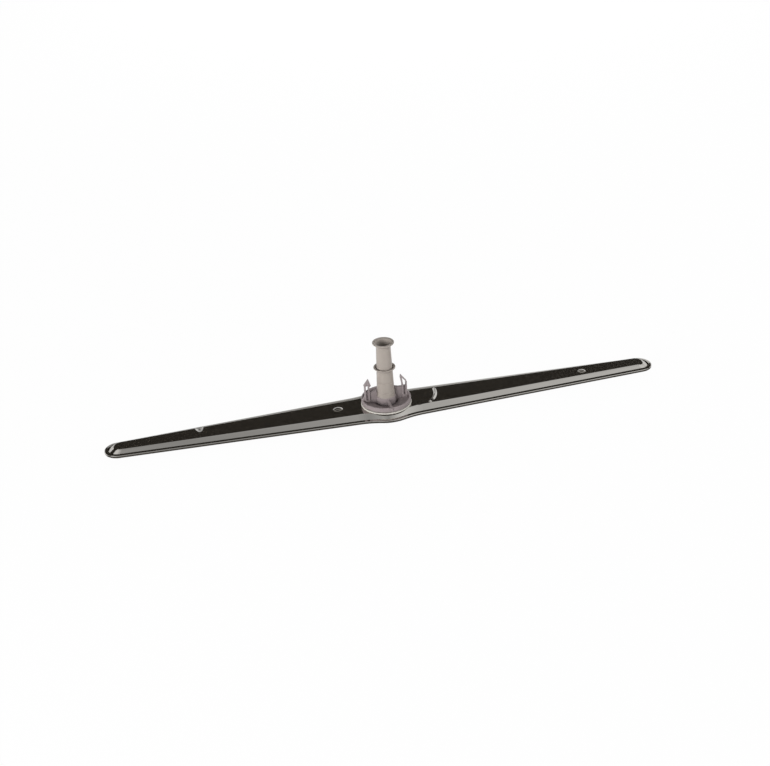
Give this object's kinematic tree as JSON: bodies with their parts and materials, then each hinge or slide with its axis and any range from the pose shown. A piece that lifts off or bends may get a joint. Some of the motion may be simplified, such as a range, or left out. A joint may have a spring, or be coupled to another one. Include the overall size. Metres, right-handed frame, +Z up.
{
  "type": "dishwasher spray arm",
  "caption": "Long tapered stainless spray arm with a folded hem and pressed jets, spinning on a moulded hub with a tall flared feed tube and snap hooks.",
  "frame": {"origin": "on the spin axis, at the flat underside of the arm", "axes": "+X along the arm towards the end with the curved rib, +Z up the feed tube, which is the spin axis"},
  "size_m": [0.46, 0.0524, 0.0644],
  "materials": {
    "stainless_sheet": "bright-rolled stainless sheet, almost a mirror",
    "bearing_plastic": "smooth moulded light grey",
    "hub_plastic": "satin moulded grey with a purple tint",
    "tube_plastic": "satin moulded warm grey",
    "washer_plastic": "smooth moulded white"
  },
  "bodies": {
    "hub": {"latch_hub": "hub_plastic", "feed_tube": "tube_plastic", "retaining_collar": "hub_plastic", "thrust_washer": "washer_plastic"},
    "arm": {"arm_top_plate": "stainless_sheet", "arm_lower_pan": "stainless_sheet", "bearing_ring": "bearing_plastic"}
  },
  "joints": [
    {"name": "arm_spin", "type": "hinge", "parent": "hub", "child": "arm", "pos_m": [0, 0, 0], "axis": [0, 0, 1], "continuous": true}
  ]
}
